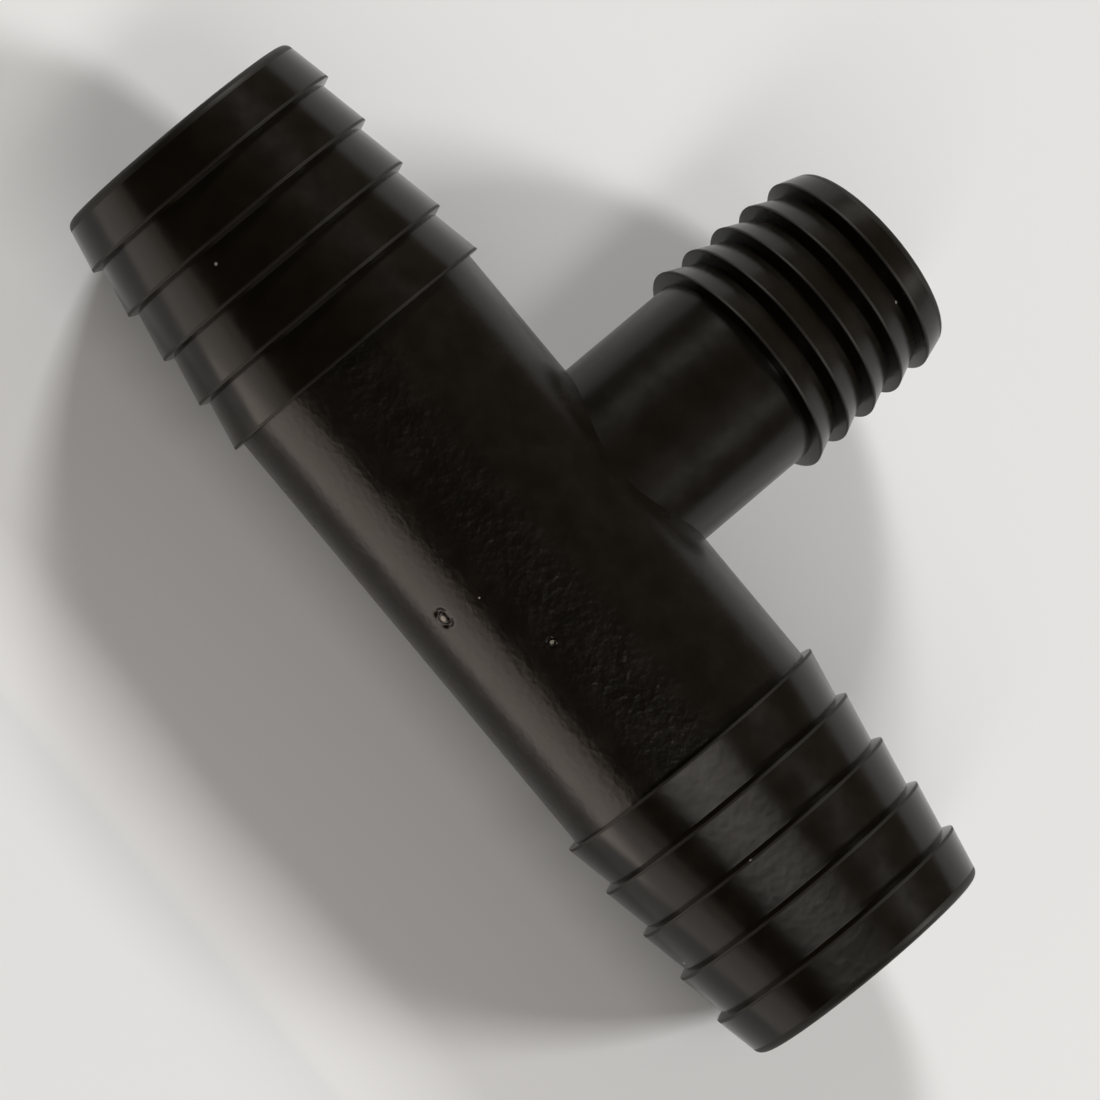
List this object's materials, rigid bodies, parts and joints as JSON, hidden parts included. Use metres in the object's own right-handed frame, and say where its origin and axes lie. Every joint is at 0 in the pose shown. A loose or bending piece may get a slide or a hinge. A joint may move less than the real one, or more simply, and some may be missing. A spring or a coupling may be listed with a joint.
{
  "type": "hose barb tee",
  "caption": "Reducing hose tee: a straight tube with a barbed spigot at each end, and a smaller barbed spigot that branches from its middle at a right angle.",
  "frame": {"origin": "where the axis of the run (the straight tube) and the axis of the branch cross", "axes": "+X along the run, +Y along the branch towards its open end, +Z square to both"},
  "size_m": [0.0934, 0.0549, 0.0272],
  "materials": {
    "moulded_plastic": "satin"
  },
  "bodies": {
    "root": {"tee_body": "moulded_plastic"}
  },
  "joints": []
}
